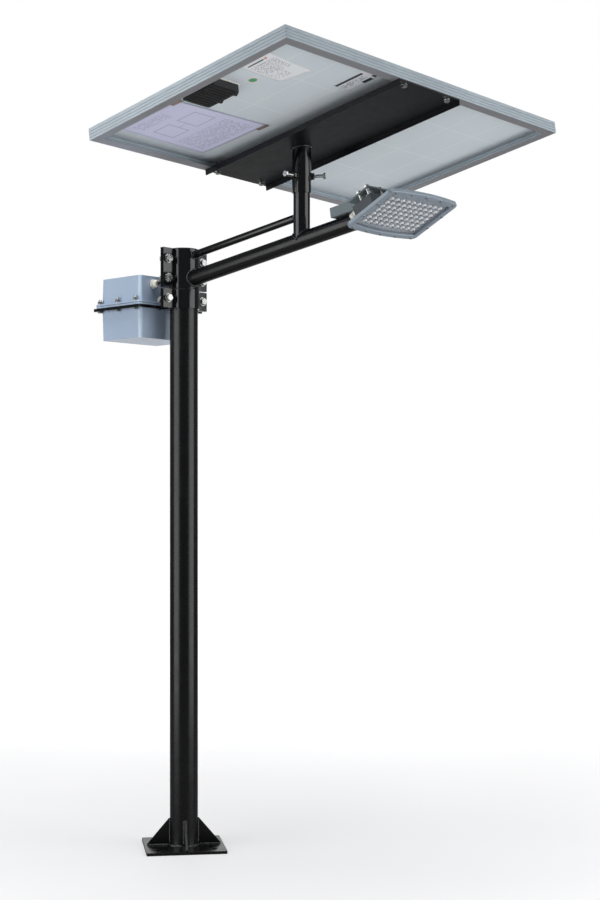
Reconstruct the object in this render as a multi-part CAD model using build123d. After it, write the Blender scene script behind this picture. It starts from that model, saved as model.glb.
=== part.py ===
from build123d import *
import os
from math import sin, cos, tan, atan, radians, degrees, sqrt, pi

# Solar street lamp: a short pole on a gusseted base plate, a two-part clamp collar that
# carries a sloping arm with a brace, an upright post with a swivelling sleeve under a
# framed solar panel, a tilting LED head on the arm's end, and a clamped battery box.
# Millimetres. Origin: centre of the base plate's underside, on the pole's axis.
# +Z is up, +X is the direction in which the arm reaches out, +Y completes the frame.

os.makedirs("parts", exist_ok=True)

# ---------------------------------------------------------------- driving dimensions
POLE_R, POLE_T = 38.05, 3.0            # 76.1 mm tube
POLE_TOP = 1618.0
BASE_SIDE, BASE_T, BASE_TURN = 215.0, 8.0, 52.0
BASE_HOLE_R, BASE_HOLE_PITCH = 9.0, 150.0
GUSSET_H, GUSSET_OUT, GUSSET_T = 72.0, 100.0, 6.0

SHELL_RI, SHELL_RO = 38.15, 42.0       # clamp half shells
SHELL_GAP, SHELL_T, FLANGE_Y = 4.0, 4.0, 80.0
UPPER_Z0, UPPER_Z1 = 1515.0, 1622.0
LOWER_Z0, LOWER_Z1 = 1461.0, 1512.0
CLAMP_BOLT_Y = 63.0
CLAMP_BOLT_Z = (1593.0, 1541.0, 1487.0)

ARM_R, ARM_T = 21.2, 3.0               # 42.4 mm tube
ARM_Z0, ARM_SLOPE = 1536.3, 8.385      # axis height at X = 0, rise in degrees
ARM_END = 624.7                        # along the arm
BRACE_R, BRACE_T, BRACE_RISE = 10.0, 2.0, 62.5

POST_X, POST_R, POST_T, POST_TOP = 438.0, 21.2, 3.0, 1812.0
SLEEVE_RI, SLEEVE_RO, SLEEVE_Z0 = 21.55, 24.15, 1720.0
SCREW_Z, SCREW_R = 1762.0, 4.0
SCREW_AZ = (-90.0, 30.0, 150.0)

PANEL_C = (528.0, 10.0, 1852.5)        # centre of the frame's underside
PANEL_TILT, PANEL_CANT = 10.64, 2.5    # rise towards +X, fall towards +Y, degrees
PANEL_U, PANEL_V, PANEL_H = 670.0, 1005.0, 30.0
LIP, WALL = 25.0, 2.2
CH_U, CH_V, CH_H, CH_T = 662.0, 225.0, 15.0, 3.0
CH_BOLT_U, CH_BOLT_V = 318.0, 80.0

BOX_X0, BOX_X1, BOX_Y = -227.0, -64.0, 102.0
BOX_Z0, BOX_ZF, BOX_Z1 = 1383.0, 1476.0, 1552.0
BOX_DRAFT, BOX_WALL, BOX_FLANGE = 2.5, 3.0, 12.0

LAMP_C, LAMP_TILT = (771.8, 0.0, 1622.5), 26.0   # centre of the bezel's lower face
LAMP_A, LAMP_Y, LAMP_BULGE, LAMP_RC = 154.7, 253.0, 9.0, 14.0
PIVOT_X = 690.0
LED_NA, LED_NY, LED_PA, LED_PY = 7, 10, 15.6, 20.0

BOT = (Align.CENTER, Align.CENTER, Align.MIN)
TOPA = (Align.CENTER, Align.CENTER, Align.MAX)
nodes = {}


def put(name, *solids):
    nodes.setdefault(name, []).extend(solids)


def rod(p, d, r, h, r_in=0.0):
    s = Cylinder(r, h, align=BOT)
    if r_in > 0:
        s = s - Cylinder(r_in, h, align=BOT)
    return Plane(origin=p, z_dir=d) * s


def hexrod(p, d, af, h, hole=0.0, x_dir=None):
    s = extrude(RegularPolygon(af / sqrt(3), 6), h)
    if hole > 0:
        s = s - Cylinder(hole, h, align=BOT)
    pl = Plane(origin=p, z_dir=d) if x_dir is None else Plane(origin=p, x_dir=x_dir, z_dir=d)
    return pl * s


def head(p, d, af, h, x_dir=None):
    """hexagon bolt head with its top corners turned off"""
    s = hexrod(p, d, af, h, x_dir=x_dir)
    cone = Plane(origin=p, z_dir=d) * (Cylinder(af / 2 + h, h, align=BOT)
                                       & Cone(af / 2 * 1.02 + h * 1.6, af / 2 * 0.93, h, align=BOT))
    return s & cone


def prism(pts, t):
    """polygon in X-Z, t thick about Y = 0"""
    return extrude(Plane.XZ * make_face(Polyline(*pts, close=True)), t / 2, both=True)


def add3(p, d, k):
    return (p[0] + d[0] * k, p[1] + d[1] * k, p[2] + d[2] * k)


# ---------------------------------------------------------------- base
base_pl = Plane(origin=(0, 0, 0), x_dir=(cos(radians(BASE_TURN)), sin(radians(BASE_TURN)), 0), z_dir=(0, 0, 1))
plate = extrude(RectangleRounded(BASE_SIDE, BASE_SIDE, 5), BASE_T)
for sx in (-1, 1):
    for sy in (-1, 1):
        plate -= Pos(sx * BASE_HOLE_PITCH / 2, sy * BASE_HOLE_PITCH / 2, 0) * Cylinder(BASE_HOLE_R, BASE_T, align=BOT)
put("base_plate", base_pl * plate)
gus = prism([(POLE_R, BASE_T), (GUSSET_OUT, BASE_T), (GUSSET_OUT, BASE_T + 3),
             (POLE_R + 2.5, BASE_T + GUSSET_H), (POLE_R, BASE_T + GUSSET_H)], GUSSET_T)
for k in range(4):
    put("base_gussets", Rot(0, 0, BASE_TURN + 90 * k) * gus)

# ---------------------------------------------------------------- pole
CABLE_AZ, CABLE_HOLE_Z = 235.0, 1536.5
cdir = (cos(radians(CABLE_AZ)), sin(radians(CABLE_AZ)), 0)
arm_ax = (cos(radians(ARM_SLOPE)), 0, sin(radians(ARM_SLOPE)))
ARM = Plane(origin=(0, 0, ARM_Z0), x_dir=arm_ax, z_dir=(-arm_ax[2], 0, arm_ax[0]))
cable_bore = rod((0, 0, CABLE_HOLE_Z), cdir, 7.0, 60)
arm_bore = rod((0, 0, ARM_Z0), arm_ax, 9.0, 60)
pole = Pos(0, 0, BASE_T) * (Cylinder(POLE_R, POLE_TOP - BASE_T, align=BOT)
                            - Cylinder(POLE_R - POLE_T, POLE_TOP - BASE_T, align=BOT))
pole = pole - cable_bore - arm_bore
put("pole_tube", pole)
cap = Pos(0, 0, POLE_TOP) * chamfer(Cylinder(POLE_R, 6, align=BOT).edges().filter_by(GeomType.CIRCLE).sort_by(Axis.Z)[-1], 2)
cap += Pos(0, 0, POLE_TOP) * (Cylinder(POLE_R - POLE_T - 0.1, 14, align=TOPA) - Cylinder(POLE_R - POLE_T - 2.6, 14, align=TOPA))
put("pole_cap", cap)


# ---------------------------------------------------------------- clamps
def shell(z0, z1, side, bolt_zs, cuts=()):
    h = z1 - z0
    ring = Cylinder(SHELL_RO, h, align=BOT) - Cylinder(SHELL_RI, h, align=BOT)
    ring = ring & (Pos(SHELL_GAP / 2, 0, 0) * Box(60, 120, h, align=(Align.MIN, Align.CENTER, Align.MIN)))
    for sy in (-1, 1):
        y0 = 39.2
        ring += Pos(SHELL_GAP / 2, sy * (y0 + FLANGE_Y) / 2, 0) * Box(SHELL_T, FLANGE_Y - y0, h,
                                                                      align=(Align.MIN, Align.CENTER, Align.MIN))
    s = Pos(0, 0, z0) * ring
    for z in bolt_zs:
        for sy in (-1, 1):
            s -= rod((0, sy * CLAMP_BOLT_Y, z), (1, 0, 0), 6.5, 20)
    if side < 0:
        s = Rot(0, 0, 180) * s
    for c in cuts:
        s -= c
    return s


put("collar_front_shell", shell(UPPER_Z0, UPPER_Z1, 1, CLAMP_BOLT_Z[:2], (arm_bore,)))
put("collar_rear_shell", shell(UPPER_Z0, UPPER_Z1, -1, CLAMP_BOLT_Z[:2], (cable_bore,)))
put("box_clamp_front_shell", shell(LOWER_Z0, LOWER_Z1, 1, CLAMP_BOLT_Z[2:]))
put("box_clamp_rear_shell", shell(LOWER_Z0, LOWER_Z1, -1, CLAMP_BOLT_Z[2:]))
XF = SHELL_GAP / 2 + SHELL_T
for z in CLAMP_BOLT_Z:
    for sy in (-1, 1):
        y = sy * CLAMP_BOLT_Y
        put("clamp_washers", rod((XF, y, z), (1, 0, 0), 12, 2.2, 6.0), rod((-XF, y, z), (-1, 0, 0), 12, 2.2, 6.0))
        put("clamp_bolts", rod((-XF - 15.5, y, z), (1, 0, 0), 6.0, 2 * XF + 15.5 + 2.2)
            + head((XF + 2.2, y, z), (1, 0, 0), 18, 7.5, (0, 0, 1)))
        put("clamp_nuts", hexrod((-XF - 2.2, y, z), (-1, 0, 0), 18, 10, 6.0, (0, 0, 1)))

# ---------------------------------------------------------------- arm, brace and post
pole_void = Pos(0, 0, 1400) * Cylinder(SHELL_RO, 320, align=BOT)
arm = ARM * (Pos(30, 0, 0) * Rot(0, 90, 0) * Cylinder(ARM_R, ARM_END - 30, align=BOT)) - pole_void
arm -= ARM * (Pos(20, 0, 0) * Rot(0, 90, 0) * Cylinder(ARM_R - ARM_T, ARM_END, align=BOT))
put("arm_tube", arm)
plug = ARM * (Pos(ARM_END, 0, 0) * Rot(0, 90, 0) * (Cylinder(ARM_R, 3, align=BOT)
              + Cylinder(ARM_R - ARM_T - 0.1, 12, align=TOPA) - Cylinder(ARM_R - ARM_T - 2.5, 12, align=TOPA)))
put("tube_plugs", plug)
BRACE = Plane(origin=(0, 0, ARM_Z0 + BRACE_RISE), x_dir=arm_ax, z_dir=(-arm_ax[2], 0, arm_ax[0]))
post_void = Pos(POST_X, 0, 1500) * Cylinder(POST_R, 400, align=BOT)
brace = BRACE * (Pos(30, 0, 0) * Rot(0, 90, 0) * Cylinder(BRACE_R, (POST_X) / cos(radians(ARM_SLOPE)) - 30, align=BOT))
brace = brace - pole_void - post_void
brace -= BRACE * (Pos(20, 0, 0) * Rot(0, 90, 0) * Cylinder(BRACE_R - BRACE_T, 500, align=BOT))
put("arm_brace", brace)
arm_at_post = ARM_Z0 + POST_X * tan(radians(ARM_SLOPE))
arm_solid = ARM * (Pos(300, 0, 0) * Rot(0, 90, 0) * Cylinder(ARM_R + 0.15, 300, align=BOT))
post = Pos(POST_X, 0, arm_at_post) * Cylinder(POST_R, POST_TOP - arm_at_post, align=BOT) - arm_solid
post -= Pos(POST_X, 0, arm_at_post - 10) * Cylinder(POST_R - POST_T, 400, align=BOT)
post = max(post.solids(), key=lambda s: s.volume)
put("post_tube", post)
put("tube_plugs", Pos(POST_X, 0, POST_TOP) * (Cylinder(POST_R, 3, align=BOT)
    + Cylinder(POST_R - POST_T - 0.1, 10, align=TOPA) - Cylinder(POST_R - POST_T - 2.5, 10, align=TOPA)))

# ---------------------------------------------------------------- bracket on the arm's end
SIDE_H, SIDE_T, SIDE_Y = 25.0, 3.0, 25.0
pz = ARM_R + SIDE_H / 2
px = (PIVOT_X + pz * sin(radians(ARM_SLOPE))) / cos(radians(ARM_SLOPE))
PIVOT = (PIVOT_X, 0.0, ARM_Z0 + px * arm_ax[2] + pz * arm_ax[0])
x0 = 569.0
side = (Pos((x0 + px) / 2, 0, ARM_R + SIDE_H / 2) * Box(px - x0, SIDE_T, SIDE_H)
        + Pos(px, 0, pz) * Rot(90, 0, 0) * Cylinder(SIDE_H / 2, SIDE_T)
        - Pos(px, 0, pz) * Rot(90, 0, 0) * Cylinder(5.05, SIDE_T * 2))
brk = Pos(0, SIDE_Y - SIDE_T / 2, 0) * side + Pos(0, -SIDE_Y + SIDE_T / 2, 0) * side
brk += Pos((x0 + px - 34) / 2, 0, ARM_R + SIDE_T / 2) * Box(px - 34 - x0, 2 * SIDE_Y - SIDE_T, SIDE_T)
put("arm_bracket", ARM * brk)
put("pivot_fasteners", rod((PIVOT[0], -31.8, PIVOT[2]), (0, 1, 0), 5.0, 31.8 * 2 + 8.7)
    + head((PIVOT[0], -31.8, PIVOT[2]), (0, -1, 0), 17, 6.6, (0, 0, 1)))
put("pivot_fasteners", rod((PIVOT[0], -29.8, PIVOT[2]), (0, -1, 0), 10.5, 2.0, 5.0),
    rod((PIVOT[0], 29.8, PIVOT[2]), (0, 1, 0), 10.5, 2.0, 5.0))
put("pivot_fasteners", hexrod((PIVOT[0], 31.8, PIVOT[2]), (0, 1, 0), 17, 8.0, 5.0, (0, 0, 1)))

# ---------------------------------------------------------------- battery box
bxc, bw, bl = (BOX_X0 + BOX_X1) / 2, BOX_X1 - BOX_X0, 2 * BOX_Y


def tub(h, draft, wall, rc=11.0):
    ang = degrees(atan(draft / h))
    outer = extrude(RectangleRounded(bw, bl, rc), h, taper=ang)
    inner = extrude(RectangleRounded(bw - 2 * wall, bl - 2 * wall, rc - wall), h - wall, taper=ang)
    return outer - inner


flange = RectangleRounded(bw + 2 * BOX_FLANGE, bl + 2 * BOX_FLANGE, 12) - RectangleRounded(bw - 6, bl - 6, 8)
lower = Rot(180, 0, 0) * tub(BOX_ZF - BOX_Z0, BOX_DRAFT, BOX_WALL) + extrude(flange, -5)
upper = tub(BOX_Z1 - BOX_ZF - 1.5, BOX_DRAFT, BOX_WALL) + extrude(flange, 5)
seal = extrude(RectangleRounded(bw + 5, bl + 5, 12) - RectangleRounded(bw - 6, bl - 6, 8), 1.5)
SEAL_Z = BOX_ZF + 1.5
box_bolts = [(x, s * (BOX_Y + 6.4)) for x in (-76.0, -149.0, -222.0) for s in (-1, 1)] \
    + [(x, y) for x in (BOX_X1 + 6.4, BOX_X0 - 6.4) for y in (-38.0, 38.0)]
bar_o = RectangleRounded(bw + 29, bl + 29, 3) - RectangleRounded(bw + 0.8, bl + 0.8, 11.4)
frame_z = BOX_ZF - 5
bars = Pos(bxc, 0, frame_z) * extrude(bar_o, -8)
stub = Pos(-45.2, 0, frame_z) * Box(10.4, 56, 8, align=TOPA) - Pos(0, 0, 1400) * Cylinder(SHELL_RO, 120, align=BOT)
bars = bars + stub
body = Pos(bxc, 0, BOX_ZF) * lower
cover = Pos(bxc, 0, SEAL_Z) * upper
for (x, y) in box_bolts:
    c = Pos(x, y, 1440) * Cylinder(4.1, 80, align=BOT)
    bars, body, cover = bars - c, body - c, cover - c
GY, GZ = -55.0, 1530.6
gland_hole = rod((-90, GY, GZ), (1, 0, 0), 7.5, 40)
cover -= gland_hole
put("battery_box_body", body)
put("battery_box_cover", cover)
put("battery_box_seal", Pos(bxc, 0, BOX_ZF) * seal)
put("box_support_frame", bars)
for (x, y) in box_bolts:
    zt, zb = SEAL_Z + 5, frame_z - 8
    along = (1, 0, 0) if abs(y) > BOX_Y else (0, 1, 0)
    put("box_flange_bolts", rod((x, y, zb), (0, 0, 1), 4.0, zt - zb + 13.2) + head((x, y, zb), (0, 0, -1), 12, 4.6))
    put("box_flange_nuts", rod((x, y, zt), (0, 0, 1), 6.2, 1.6, 4.0) + hexrod((x, y, zt + 1.6), (0, 0, 1), 12.0, 6.5, 4.0, along))
# inside the box
batt = Pos(bxc, 0, BOX_Z0 + BOX_WALL) * chamfer(Box(124, 160, 104, align=BOT).edges().filter_by(Axis.Z), 6)
put("battery_pack", batt)
put("charge_controller", Pos(bxc, 8, BOX_Z0 + BOX_WALL + 104) * (Box(96, 110, 4, align=BOT)
    + Pos(0, 0, 4) * Box(80, 96, 22, align=BOT)))
# cable and its gland
gx = -65.1
CABLE_R = 3.5
route = [(-62.0, GY, GZ), (-38.0, GY, GZ + 1.0), (-17.6, -24.3, 1538.5)]
v1 = Vector(*route[1]) - Vector(*route[0])
v2 = Vector(*route[2]) - Vector(*route[1])
turn = v1.get_angle(v2)
rad = 0.45 * min(v1.length, v2.length) / tan(radians(turn / 2))
print("cable bend radius", round(rad, 1), "turn", round(turn, 1))
path = FilletPolyline(*route, radius=rad)
cable = sweep(Plane(origin=path @ 0, z_dir=path % 0) * Circle(CABLE_R), path=path)
print("cable length", round(path.length, 1), "volume ratio", round(cable.volume / (pi * CABLE_R ** 2 * path.length), 4))
gl = hexrod((gx, GY, GZ), (1, 0, 0), 22, 6, x_dir=(0, 0, 1))
gl += rod((gx + 6, GY, GZ), (1, 0, 0), 8.6, 3)
gl += Plane(origin=(gx + 9, GY, GZ), z_dir=(1, 0, 0)) * fillet(
    Cylinder(10.2, 12, align=BOT).edges().filter_by(GeomType.CIRCLE).sort_by(Axis.Z)[-1], 4)
gl += rod((gx - 9, GY, GZ), (1, 0, 0), 7.4, 9)
gl -= rod((gx - 12, GY, GZ), (1, 0, 0), 4.2, 6.0)
put("box_cable_gland", gl - cable)
put("box_cable", cable)
gp = (cdir[0] * 34, cdir[1] * 34, CABLE_HOLE_Z)
grom = rod(gp, cdir, 6.9, 9.0) + rod((cdir[0] * 42.1, cdir[1] * 42.1, CABLE_HOLE_Z), cdir, 9.5, 2.4)
put("cable_grommet", grom - cable)

# ---------------------------------------------------------------- panel
ta, ca = radians(PANEL_TILT), radians(PANEL_CANT)
n0 = Vector(-sin(ta), 0, cos(ta))
pn = n0 * cos(ca) + Vector(0, 1, 0) * sin(ca)
PANEL = Plane(origin=PANEL_C, x_dir=(cos(ta), 0, sin(ta)), z_dir=pn)
# where the post's axis crosses the frame's underside, in panel coordinates
t = (Vector(*PANEL_C) - Vector(POST_X, 0, 0)).dot(pn) / pn.Z
hit = PANEL.to_local_coords(Vector(POST_X, 0, t))
U0, V0 = hit.X, hit.Y
print("post meets panel at", round(U0, 1), round(V0, 1), "z", round(t, 1))


def rail(length, half, d):
    """one frame rail: profile in X-Z (outer face at X = 0), run along Y, mitred at both ends"""
    prof = Pos(-WALL / 2, PANEL_H / 2) * Rectangle(WALL, PANEL_H)
    prof += Pos(-LIP / 2, 0.9) * Rectangle(LIP, 1.8)
    prof += Pos(-8.3, 11.75) * Rectangle(1.4, 23.5)
    prof += Pos(-4.5, 22.75) * Rectangle(9.0, 1.5)
    prof += Pos(-4.25, 29.2) * Rectangle(8.5, 1.6)
    for w in (6.0, 13.5, 21.0):
        prof -= Pos(-0.35, w) * Rectangle(0.7, 2.2)
    s = extrude(Plane.XZ * prof, length / 2, both=True)
    cut = extrude(make_face(Polyline((1, -length / 2 - 1), (1, length / 2 + 1), (-d, length / 2 - d), (-d, -length / 2 + d), close=True)), 40)
    s = s & (Pos(0, 0, -2) * cut)
    return Pos(half, 0, 0) * s


rl = rail(PANEL_V, PANEL_U / 2, 30)
rs = rail(PANEL_U, PANEL_V / 2, 30)
ch_pos = [(su * CH_BOLT_U, V0 + sv * CH_BOLT_V) for su in (-1, 1) for sv in (-1, 1)]
rails = {"frame_rail_high": rl, "frame_rail_low": Rot(0, 0, 180) * rl,
         "frame_rail_right": Rot(0, 0, 90) * rs, "frame_rail_left": Rot(0, 0, -90) * rs}
for nm, r in rails.items():
    if nm in ("frame_rail_high", "frame_rail_low"):
        for (u, v) in ch_pos:
            r = r - Pos(u, v, -2) * Cylinder(4.05, 6, align=BOT)
    put(nm, PANEL * r)
gu, gv = PANEL_U - 2 * (WALL + 0.6), PANEL_V - 2 * (WALL + 0.6)
put("panel_backsheet", PANEL * (Pos(0, 0, 23.5) * Box(gu, gv, 1.0, align=BOT)))
NU, NV, CU, CV, GAPC = 4, 9, 156.0, 105.0, 3.0
for i in range(NU):
    for j in range(NV):
        u = (i - (NU - 1) / 2) * (CU + GAPC)
        v = (j - (NV - 1) / 2) * (CV + GAPC)
        put("solar_cells", PANEL * (Pos(u, v, 24.5) * Box(CU, CV, 0.3, align=BOT)))
put("panel_glass", PANEL * (Pos(0, 0, 24.8) * Box(gu, gv, 3.4, align=BOT)))

# junction box under the back sheet
JU, JV, JW, JL = 13.0, -424.0, 106.0, 86.0
jb = Pos(JU, JV, 23.5) * (extrude(RectangleRounded(JW, JL, 6), -16.5) - Pos(0, 0, -2) * extrude(RectangleRounded(JW - 5, JL - 5, 4), -15))
for du in (24.0, -26.0):
    jb -= Pos(JU + du, JV + JL / 2 - 5, 15.5) * Rot(-90, 0, 0) * Cylinder(3.6, 12, align=BOT)
put("jbox_base", PANEL * jb)
lid = Pos(JU, JV, 7.0) * extrude(RectangleRounded(JW, JL, 6), -4.0)
for k in range(9):
    lid += Pos(JU + (k - 4) * 10.8, JV, 3.0) * Box(2.4, JL - 12, 2.0, align=TOPA)
put("jbox_lid", PANEL * lid)
for du in (24.0, -26.0):
    g = Pos(JU + du, JV + JL / 2, 15.5) * Rot(-90, 0, 0) * (extrude(RegularPolygon(8.0 / cos(pi / 6), 6), 6)
        + Pos(0, 0, 6) * Cylinder(7.2, 11, align=BOT) - Cylinder(3.0, 17, align=BOT))
    g = g & (Pos(JU + du, JV + JL / 2 + 10, 15.3) * Box(30, 30, 15.8))
    put("jbox_glands", PANEL * g)

# mounting channel, sleeve and their fasteners
web = Pos(0, V0, 0) * Box(CH_U, CH_V, CH_T, align=TOPA)
chan = web
for s in (-1, 1):
    chan += Pos(0, V0 + s * (CH_V - CH_T) / 2, 0) * Box(CH_U, CH_T, CH_H, align=TOPA)
for (u, v) in ch_pos:
    chan -= Pos(u, v, -10) * Cylinder(4.05, 20, align=BOT)
put("mounting_channel", PANEL * chan)
for (u, v) in ch_pos:
    put("channel_bolts", PANEL * (Pos(u, v, -CH_T - 1.6) * Cylinder(4.0, CH_T + 1.6 + 12, align=BOT)
                                  + Pos(u, v, -CH_T - 1.6) * Cylinder(8.0, 1.6, align=BOT)
                                  + head((u, v, -CH_T - 1.6), (0, 0, -1), 13, 5.3)))
    put("channel_nuts", PANEL * (Pos(u, v, 1.8) * Rot(0, 0, 30) * (extrude(RegularPolygon(13 / sqrt(3), 6), 6.5) - Cylinder(4.0, 6.5, align=BOT))))
above = PANEL * (Pos(0, 0, -CH_T) * Box(1000, 1400, 200, align=BOT))
slv = Pos(POST_X, 0, SLEEVE_Z0) * (Cylinder(SLEEVE_RO, 160, align=BOT) - Cylinder(SLEEVE_RI, 160, align=BOT)) - above
screw_names = ("set_screw_front", "set_screw_right", "set_screw_rear")
for az, nm in zip(SCREW_AZ, screw_names):
    d = (cos(radians(az)), sin(radians(az)), 0)
    c = (POST_X, 0, SCREW_Z)
    slv -= rod(add3(c, d, 15), d, SCREW_R + 0.3, 20)
    nut = hexrod(add3(c, d, 22), d, 15, 10.5, SCREW_R + 0.15, (0, 0, 1)) - Pos(POST_X, 0, 1700) * Cylinder(SLEEVE_RO, 150, align=BOT)
    put("sleeve_nuts", nut)
    put(nm, rod(add3(c, d, POST_R + 0.3), d, SCREW_R, 57 - POST_R - 0.3) + head(add3(c, d, 57), d, 14, 5.5, (0, 0, 1)))
put("sleeve_tube", slv)

# ---------------------------------------------------------------- lamp head
tl = radians(LAMP_TILT)
LAMP = Plane(origin=LAMP_C, x_dir=(cos(tl), 0, sin(tl)), z_dir=(-sin(tl), 0, cos(tl)))
pl = LAMP.to_local_coords(Vector(*PIVOT))
PA, PN = pl.X, pl.Z
print("pivot", [round(c, 2) for c in PIVOT], "in lamp", round(PA, 2), round(PN, 2))


def outline(off):
    """bezel outline: straight short sides, bowed long sides, rounded corners, inset by off"""
    a, y = LAMP_A / 2 - off, LAMP_Y / 2 - off
    f = make_face([ThreePointArc((-a, -y), (-a - LAMP_BULGE, 0), (-a, y)), Line((-a, y), (a, y)),
                   ThreePointArc((a, y), (a + LAMP_BULGE, 0), (a, -y)), Line((a, -y), (-a, -y))])
    f = fillet(f.vertices(), max(LAMP_RC - off, 2.5))
    f = f.faces()[0]
    return f if f.normal_at().Z > 0 else -f


def plate_at(sk, n0_, n1_):
    return Pos(0, 0, n0_) * extrude(sk, amount=n1_ - n0_, dir=(0, 0, 1))


screws = [(s * (LAMP_A / 2 - 6.5 + LAMP_BULGE * (1 - (y / (LAMP_Y / 2)) ** 2)), y) for s in (-1, 1) for y in (-108, -54, 0, 54, 108)] \
    + [(a, s * (LAMP_Y / 2 - 6.5)) for a in (-25, 25) for s in (-1, 1)]
bez = plate_at(outline(0), 0, 5) - plate_at(outline(15), -1, 6)
bez = chamfer(bez.edges().group_by(Axis.Z)[0], 1.2)
hous = plate_at(outline(0.0), 5, 9) + loft([Pos(0, 0, 9) * outline(0.0), Pos(0, 0, 18) * outline(15.5)])
hous = hous - plate_at(outline(11.2), 4, 9.5) - plate_at(outline(15), 9, 12.5)
for k in range(-11, 12):
    hous -= Pos(42, k * 10.0, 14) * Box(74, 6.4, 20, align=BOT)
for k in range(-8, 8):
    hous += Pos(20.5, k * 10.0 + 5.0, 16) * Box(31, 3.6, 12, align=BOT)
hole = [Pos(a, y, -1) * Cylinder(2.05, 11.5, align=BOT) for (a, y) in screws]
for h in hole:
    bez -= h
    hous -= h
put("lamp_bezel", LAMP * bez)
put("lamp_housing", LAMP * hous)
for (a, y) in screws:
    put("bezel_screws", LAMP * (Pos(a, y, -2.2) * fillet(Cylinder(3.9, 2.2, align=BOT).edges().filter_by(GeomType.CIRCLE).sort_by(Axis.Z)[0], 1.2)
                                + Pos(a, y, 0) * Cylinder(2.0, 10, align=BOT)))
put("lens_gasket", LAMP * (plate_at(outline(11.4), 8, 9.5) - plate_at(outline(15), 7, 10)))
lens = plate_at(outline(11.4), 5, 8)
leds = [((i - (LED_NA - 1) / 2) * LED_PA, (j - (LED_NY - 1) / 2) * LED_PY) for i in range(LED_NA) for j in range(LED_NY)]
dome = Pos(0, 0, 5.2) * Cone(3.4, 6.0, 4.7, align=TOPA)
lens = lens.fuse(*[Pos(a, y, 0) * d for (a, y) in leds for d in dome.solids()])
put("lens_plate", LAMP * lens)
put("led_board", LAMP * plate_at(outline(17), 10.5, 12.5))
for (a, y) in leds:
    put("led_chips", LAMP * (Pos(a, y, 9.2) * Box(3.5, 3.5, 1.3, align=BOT)))
DA0, DA1, DY, DN0, DN1 = -70.0, -2.0, 90.0, 18.0, 52.0
dw, dc = DA1 - DA0, (DA0 + DA1) / 2
drv = Pos(dc, 0, DN0) * (extrude(RectangleRounded(dw, 2 * DY, 8), DN1 - DN0) - Pos(0, 0, 3) * extrude(RectangleRounded(dw - 6, 2 * DY - 6, 5), DN1 - DN0))
LGY, LGN = -76.0, 42.5
drv -= Pos(DA0 - 2, LGY, LGN) * Rot(0, 90, 0) * Cylinder(5.5, 8, align=BOT)
put("driver_box", LAMP * drv)
put("driver_cover", LAMP * (Pos(dc, 0, DN1) * fillet(extrude(RectangleRounded(dw, 2 * DY, 8), 4).edges().group_by(Axis.Z)[-1], 1.5)))
put("led_driver", LAMP * (Pos(dc, 6, DN0 + 3) * Box(46, 150, 14, align=BOT)))
lg = Pos(DA0, LGY, LGN) * Rot(0, -90, 0) * (extrude(RegularPolygon(9.0 / cos(pi / 6), 6), 5) + Pos(0, 0, 5) * Cylinder(7.0, 3, align=BOT)
     + Pos(0, 0, 8) * fillet(Cylinder(8.6, 11, align=BOT).edges().filter_by(GeomType.CIRCLE).sort_by(Axis.Z)[-1], 3)
     + Cylinder(5.4, 6, align=TOPA) - Cylinder(3.2, 19, align=BOT) - Cylinder(3.2, 6, align=TOPA))
put("lamp_cable_gland", LAMP * lg)
# tilting mount plate: two wings joined past the pivot, a lug outside each side plate
MP0, MP1, MPA0, MPA1, MPY = DN1 + 42.0, DN1 + 46.0, -98.0, -27.0, 53.0
mp = Pos((MPA0 + MPA1) / 2, 0, MP0) * extrude(RectangleRounded(MPA1 - MPA0, 2 * MPY, 5), MP1 - MP0)
mp -= Pos(MPA0 - 1, 0, MP0 - 1) * Box(PA + 4 - MPA0 + 1, 51.0, 6, align=(Align.MIN, Align.CENTER, Align.MIN))
for s in (-1, 1):
    lug = Pos(PA, s * 27.5, (PN + MP0 + 1) / 2) * Box(28, 4, MP0 + 1 - PN) + Pos(PA, s * 27.5, PN) * Rot(90, 0, 0) * Cylinder(14, 4)
    lug -= Pos(PA, s * 27.5, PN) * Rot(90, 0, 0) * Cylinder(5.3, 8)
    mp += lug
mb = [(-63.0, -46.0), (-63.0, 46.0), (-36.0, -46.0), (-36.0, 46.0), (-36.0, 0.0)]
for (a, y) in mb:
    mp -= Pos(a, y, MP0 - 2) * Cylinder(4.05, 10, align=BOT)
    put("mount_plate_spacers", LAMP * rod((a, y, DN1 + 4), (0, 0, 1), 5.5, MP0 - DN1 - 4, 4.05))
    put("mount_plate_bolts", LAMP * (Pos(a, y, DN1 + 4) * Cylinder(4.0, MP1 - DN1 - 4, align=BOT) + head((a, y, MP1), (0, 0, 1), 13, 5.3)))
put("lamp_mount_plate", LAMP * mp)

# ---------------------------------------------------------------- export
for name, solids in nodes.items():
    flat = []
    for s in solids:
        for piece in (s if isinstance(s, (list, tuple)) else [s]):
            flat.extend(piece.solids())
    shape = flat[0] if len(flat) == 1 else Compound(children=flat)
    export_step(shape, "parts/" + name + ".step")
print(len(nodes), "nodes")
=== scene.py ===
import math
import random
from math import sin, cos, tan, radians, pi, sqrt, hypot, floor, atan2

import bpy
from mathutils import Matrix, Vector


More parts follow.
